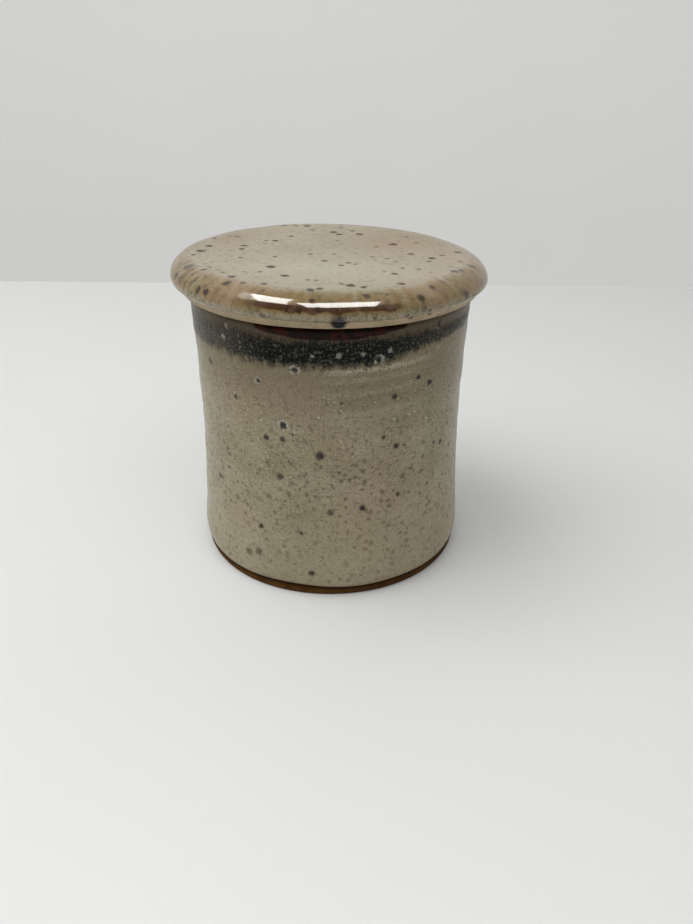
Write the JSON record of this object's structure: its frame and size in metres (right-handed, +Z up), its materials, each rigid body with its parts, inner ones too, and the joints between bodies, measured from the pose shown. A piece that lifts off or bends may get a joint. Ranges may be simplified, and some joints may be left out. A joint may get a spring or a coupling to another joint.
{
  "type": "butter crock",
  "caption": "Lidded stoneware butter crock: a round water crock and a flat knobless lid that carries a hanging bell for the butter.",
  "frame": {"origin": "centre of the foot, on the plane that the crock stands on", "axes": "+Z up along the axis the pot was thrown on; -Y is the side that the picture was taken from, +X to its right"},
  "size_m": [0.114, 0.114, 0.1147],
  "materials": {
    "crock_glaze": "satin-gloss speckled oatmeal glaze with a dark iron and cobalt band under the rim",
    "lid_glaze": "glossy speckled oatmeal glaze, breaking to golden brown round the edge",
    "bell_glaze": "glossy speckled oatmeal glaze",
    "bare_clay": "matt unglazed dark brown stoneware, on the foot"
  },
  "bodies": {
    "crock": {"crock": "crock_glaze"},
    "lid": {"lid_cap": "lid_glaze", "butter_bell": "bell_glaze"}
  },
  "joints": [
    {"name": "lid_lift", "type": "slide", "parent": "crock", "child": "lid", "axis": [0, 0, 1], "range_m": [0, 0.12]}
  ]
}
